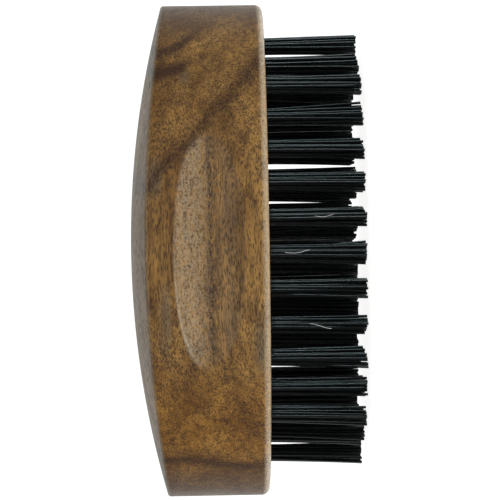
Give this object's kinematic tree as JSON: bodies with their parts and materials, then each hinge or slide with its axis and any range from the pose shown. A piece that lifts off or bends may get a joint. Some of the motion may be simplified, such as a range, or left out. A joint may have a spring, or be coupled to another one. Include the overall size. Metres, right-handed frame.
{
  "type": "beard brush",
  "caption": "Oval palm-held hardwood beard brush with a crowned back, a finger scoop along each side and rows of stiff bristle tufts.",
  "frame": {"origin": "centre of the footprint at the height of the bristle tips, with the brush standing on its bristles", "axes": "+X along the length of the block, +Y across its width, +Z from the bristle tips up to the crowned back"},
  "size_m": [0.1, 0.048, 0.0473],
  "materials": {
    "wood": "oiled satin walnut",
    "bristle": "satin black filament"
  },
  "bodies": {
    "root": {"wood_block": "wood", "bristle_tuft_r1_01": "bristle", "bristle_tuft_r1_02": "bristle", "bristle_tuft_r1_03": "bristle", "bristle_tuft_r1_04": "bristle", "bristle_tuft_r1_05": "bristle", "bristle_tuft_r1_06": "bristle", "bristle_tuft_r1_07": "bristle", "bristle_tuft_r1_08": "bristle", "bristle_tuft_r1_09": "bristle", "bristle_tuft_r1_10": "bristle", "bristle_tuft_r1_11": "bristle", "bristle_tuft_r2_01": "bristle", "bristle_tuft_r2_02": "bristle", "bristle_tuft_r2_03": "bristle", "bristle_tuft_r2_04": "bristle", "bristle_tuft_r2_05": "bristle", "bristle_tuft_r2_06": "bristle", "bristle_tuft_r2_07": "bristle", "bristle_tuft_r2_08": "bristle", "bristle_tuft_r2_09": "bristle", "bristle_tuft_r2_10": "bristle", "bristle_tuft_r2_11": "bristle", "bristle_tuft_r2_12": "bristle", "bristle_tuft_r3_01": "bristle", "bristle_tuft_r3_02": "bristle", "bristle_tuft_r3_03": "bristle", "bristle_tuft_r3_04": "bristle", "bristle_tuft_r3_05": "bristle", "bristle_tuft_r3_06": "bristle", "bristle_tuft_r3_07": "bristle", "bristle_tuft_r3_08": "bristle", "bristle_tuft_r3_09": "bristle", "bristle_tuft_r3_10": "bristle", "bristle_tuft_r3_11": "bristle", "bristle_tuft_r3_12": "bristle", "bristle_tuft_r3_13": "bristle", "bristle_tuft_r4_01": "bristle", "bristle_tuft_r4_02": "bristle", "bristle_tuft_r4_03": "bristle", "bristle_tuft_r4_04": "bristle", "bristle_tuft_r4_05": "bristle", "bristle_tuft_r4_06": "bristle", "bristle_tuft_r4_07": "bristle", "bristle_tuft_r4_08": "bristle", "bristle_tuft_r4_09": "bristle", "bristle_tuft_r4_10": "bristle", "bristle_tuft_r4_11": "bristle", "bristle_tuft_r4_12": "bristle", "bristle_tuft_r5_01": "bristle", "bristle_tuft_r5_02": "bristle", "bristle_tuft_r5_03": "bristle", "bristle_tuft_r5_04": "bristle", "bristle_tuft_r5_05": "bristle", "bristle_tuft_r5_06": "bristle", "bristle_tuft_r5_07": "bristle", "bristle_tuft_r5_08": "bristle", "bristle_tuft_r5_09": "bristle", "bristle_tuft_r5_10": "bristle", "bristle_tuft_r5_11": "bristle"}
  },
  "joints": []
}
